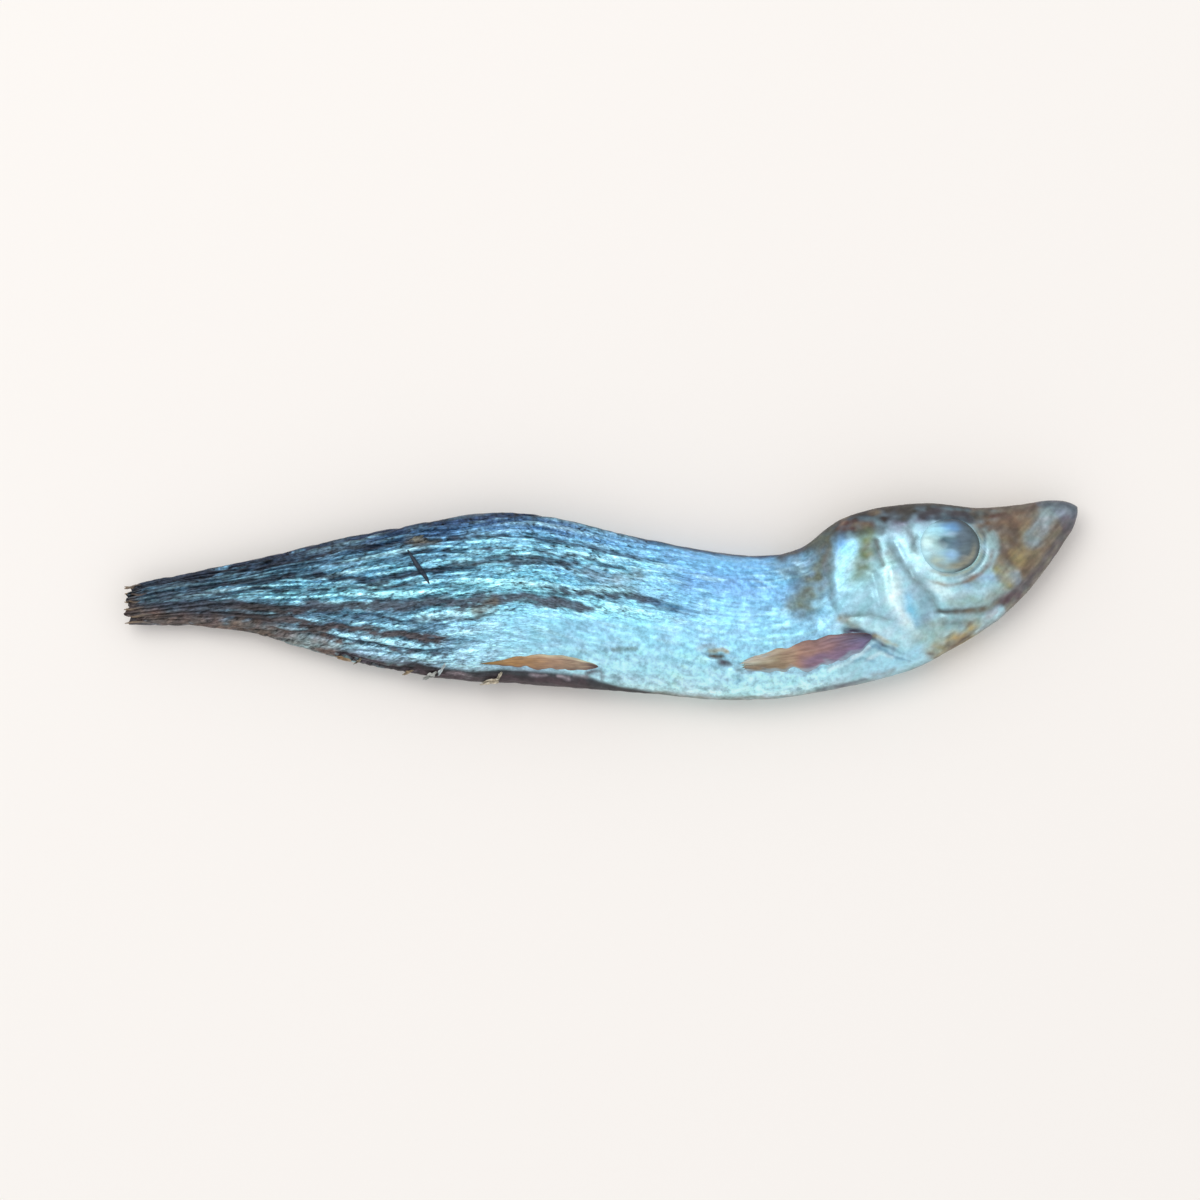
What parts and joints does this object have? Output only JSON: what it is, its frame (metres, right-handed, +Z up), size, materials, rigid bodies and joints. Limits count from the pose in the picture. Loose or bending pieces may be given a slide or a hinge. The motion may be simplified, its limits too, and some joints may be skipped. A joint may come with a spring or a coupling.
{
  "type": "smoked fish",
  "caption": "One small whole smoked fish, dried flat and lying on its side, with pleated silver skin, a pointed head, fins pressed flat and no tail fin.",
  "frame": {"origin": "under the middle of the fish's box, on the surface that it lies on", "axes": "+X from the tail stub to the snout, +Y from the belly to the back, +Z up through the shown right flank"},
  "size_m": [0.1, 0.021, 0.0073],
  "materials": {
    "fish_skin": "dry blue-silver fish skin, golden brown on the head and dark navy on the back"
  },
  "bodies": {
    "root": {"fish": "fish_skin"}
  },
  "joints": []
}
